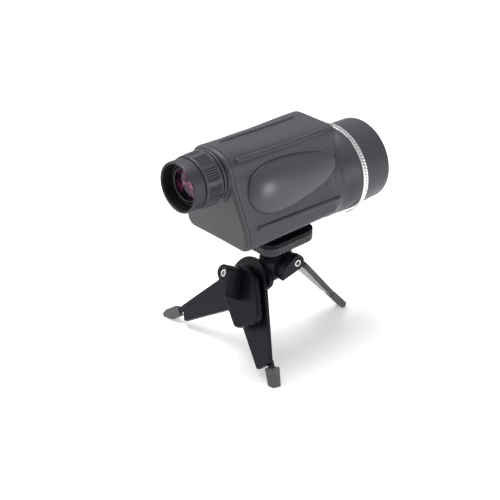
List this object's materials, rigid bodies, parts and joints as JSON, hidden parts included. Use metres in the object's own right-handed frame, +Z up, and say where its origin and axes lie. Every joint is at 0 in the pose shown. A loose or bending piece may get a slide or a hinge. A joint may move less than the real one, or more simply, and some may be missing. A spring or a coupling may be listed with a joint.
{
  "type": "spotting scope",
  "caption": "Compact straight-view zoom spotting scope with an offset eyepiece above a large objective, side grips and a folding table-top tripod.",
  "frame": {"origin": "on the ground under the centre of the whole object's bounding box", "axes": "+Z up, +Y from the eyepiece towards the objective, +X to the right of someone looking through the eyepiece"},
  "size_m": [0.1144, 0.1584, 0.1548],
  "materials": {
    "armour": "soft-touch, fine grain",
    "cover": "matte",
    "grip": "matte",
    "barrel": "matte",
    "eyecup_rubber": "matte",
    "silver": "bright satin",
    "cell": "black anodised",
    "coated": "polished, violet coating",
    "glass": "polished",
    "brass": "turned",
    "steel": "bright",
    "tripod": "satin",
    "foot": "matte",
    "pad": "smooth"
  },
  "bodies": {
    "tripod_base": {"main_leg": "tripod", "main_foot": "foot", "hinge_cheek": "tripod", "left_hinge_screw": "steel", "left_hinge_washer": "steel", "front_hinge_screw": "steel", "front_hinge_washer": "steel", "front_hinge_nut": "steel"},
    "left_leg_body": {"left_leg": "tripod", "left_foot": "foot"},
    "front_leg_body": {"front_leg": "tripod", "front_foot": "foot"},
    "swivel_cup": {"ball_cup": "cell"},
    "collar": {"lock_collar": "barrel"},
    "scope_body": {"ball_stud": "steel", "platform_plate": "tripod", "platform_pad": "pad", "camera_screw": "steel", "tripod_socket": "brass", "main_body": "armour", "rear_cover": "cover", "side_grip_left": "grip", "side_grip_right": "grip", "silver_trim_ring": "silver", "rear_prism": "glass", "front_prism": "glass", "rear_prism_clip": "steel", "front_prism_clip": "steel", "prism_plate": "cell", "baffle_ring": "cell", "field_stop": "cell", "eyepiece_barrel": "cell", "eyepiece_collar": "barrel", "eyecup": "eyecup_rubber", "eye_lens": "coated", "eye_lens_retainer": "barrel", "eye_lens_spacer": "cell"},
    "focus_sleeve": {"focus_barrel": "barrel"},
    "objective_carriage": {"objective_cell": "cell", "objective_crown_lens": "coated", "objective_flint_lens": "glass", "objective_retainer": "cell"},
    "zoom_control": {"zoom_ring": "barrel", "zoom_cam_tube": "brass", "zoom_drive_pin": "steel"},
    "zoom_rear_group": {"zoom_cell_rear": "cell", "zoom_lens_rear": "coated"},
    "zoom_front_group": {"zoom_cell_front": "cell", "zoom_lens_front": "coated"}
  },
  "joints": [
    {"name": "left_leg_fold", "type": "hinge", "parent": "tripod_base", "child": "left_leg_body", "pos_m": [-0.0017, -0.0167, 0.04655], "axis": [-0.0796, -0.8747, 0.4782], "range_deg": [0, 86]},
    {"name": "front_leg_fold", "type": "hinge", "parent": "tripod_base", "child": "front_leg_body", "pos_m": [0.00661, 0.00841, 0.059], "axis": [0.9959, -0.0906, 0], "range_deg": [-55, 0]},
    {"name": "head_pan", "type": "hinge", "parent": "tripod_base", "child": "swivel_cup", "pos_m": [0.00711, -0.0022, 0.057], "axis": [0, 0, 1], "continuous": true},
    {"name": "lock_collar_turn", "type": "hinge", "parent": "swivel_cup", "child": "collar", "pos_m": [0.00711, -0.0022, 0.057], "axis": [0, 0, 1], "range_deg": [0, 90]},
    {"name": "head_tilt", "type": "hinge", "parent": "swivel_cup", "child": "scope_body", "pos_m": [0.00711, -0.0022, 0.057], "axis": [1, 0, 0], "range_deg": [-12, 12], "stiffness_Nm_per_rad": 1.5},
    {"name": "focus_turn", "type": "hinge", "parent": "scope_body", "child": "focus_sleeve", "pos_m": [0.00711, 0.0618, 0.107], "axis": [0, 1, 0], "range_deg": [-150, 150]},
    {"name": "objective_slide", "type": "slide", "parent": "scope_body", "child": "objective_carriage", "axis": [0, 1, 0], "range_m": [-0.0017, 0.0017]},
    {"name": "zoom_turn", "type": "hinge", "parent": "scope_body", "child": "zoom_control", "pos_m": [0.00711, -0.0602, 0.1368], "axis": [0, 1, 0], "range_deg": [0, 100]},
    {"name": "zoom_rear_slide", "type": "slide", "parent": "scope_body", "child": "zoom_rear_group", "axis": [0, 1, 0], "range_m": [0, 0.0042]},
    {"name": "zoom_front_slide", "type": "slide", "parent": "scope_body", "child": "zoom_front_group", "axis": [0, 1, 0], "range_m": [-0.0032, 0]}
  ],
  "couplings": [
    {"joint": "objective_slide", "follows": "focus_turn", "m_per_rad": 0.0006},
    {"joint": "zoom_rear_slide", "follows": "zoom_turn", "m_per_rad": 0.0023},
    {"joint": "zoom_front_slide", "follows": "zoom_turn", "m_per_rad": -0.0017}
  ]
}
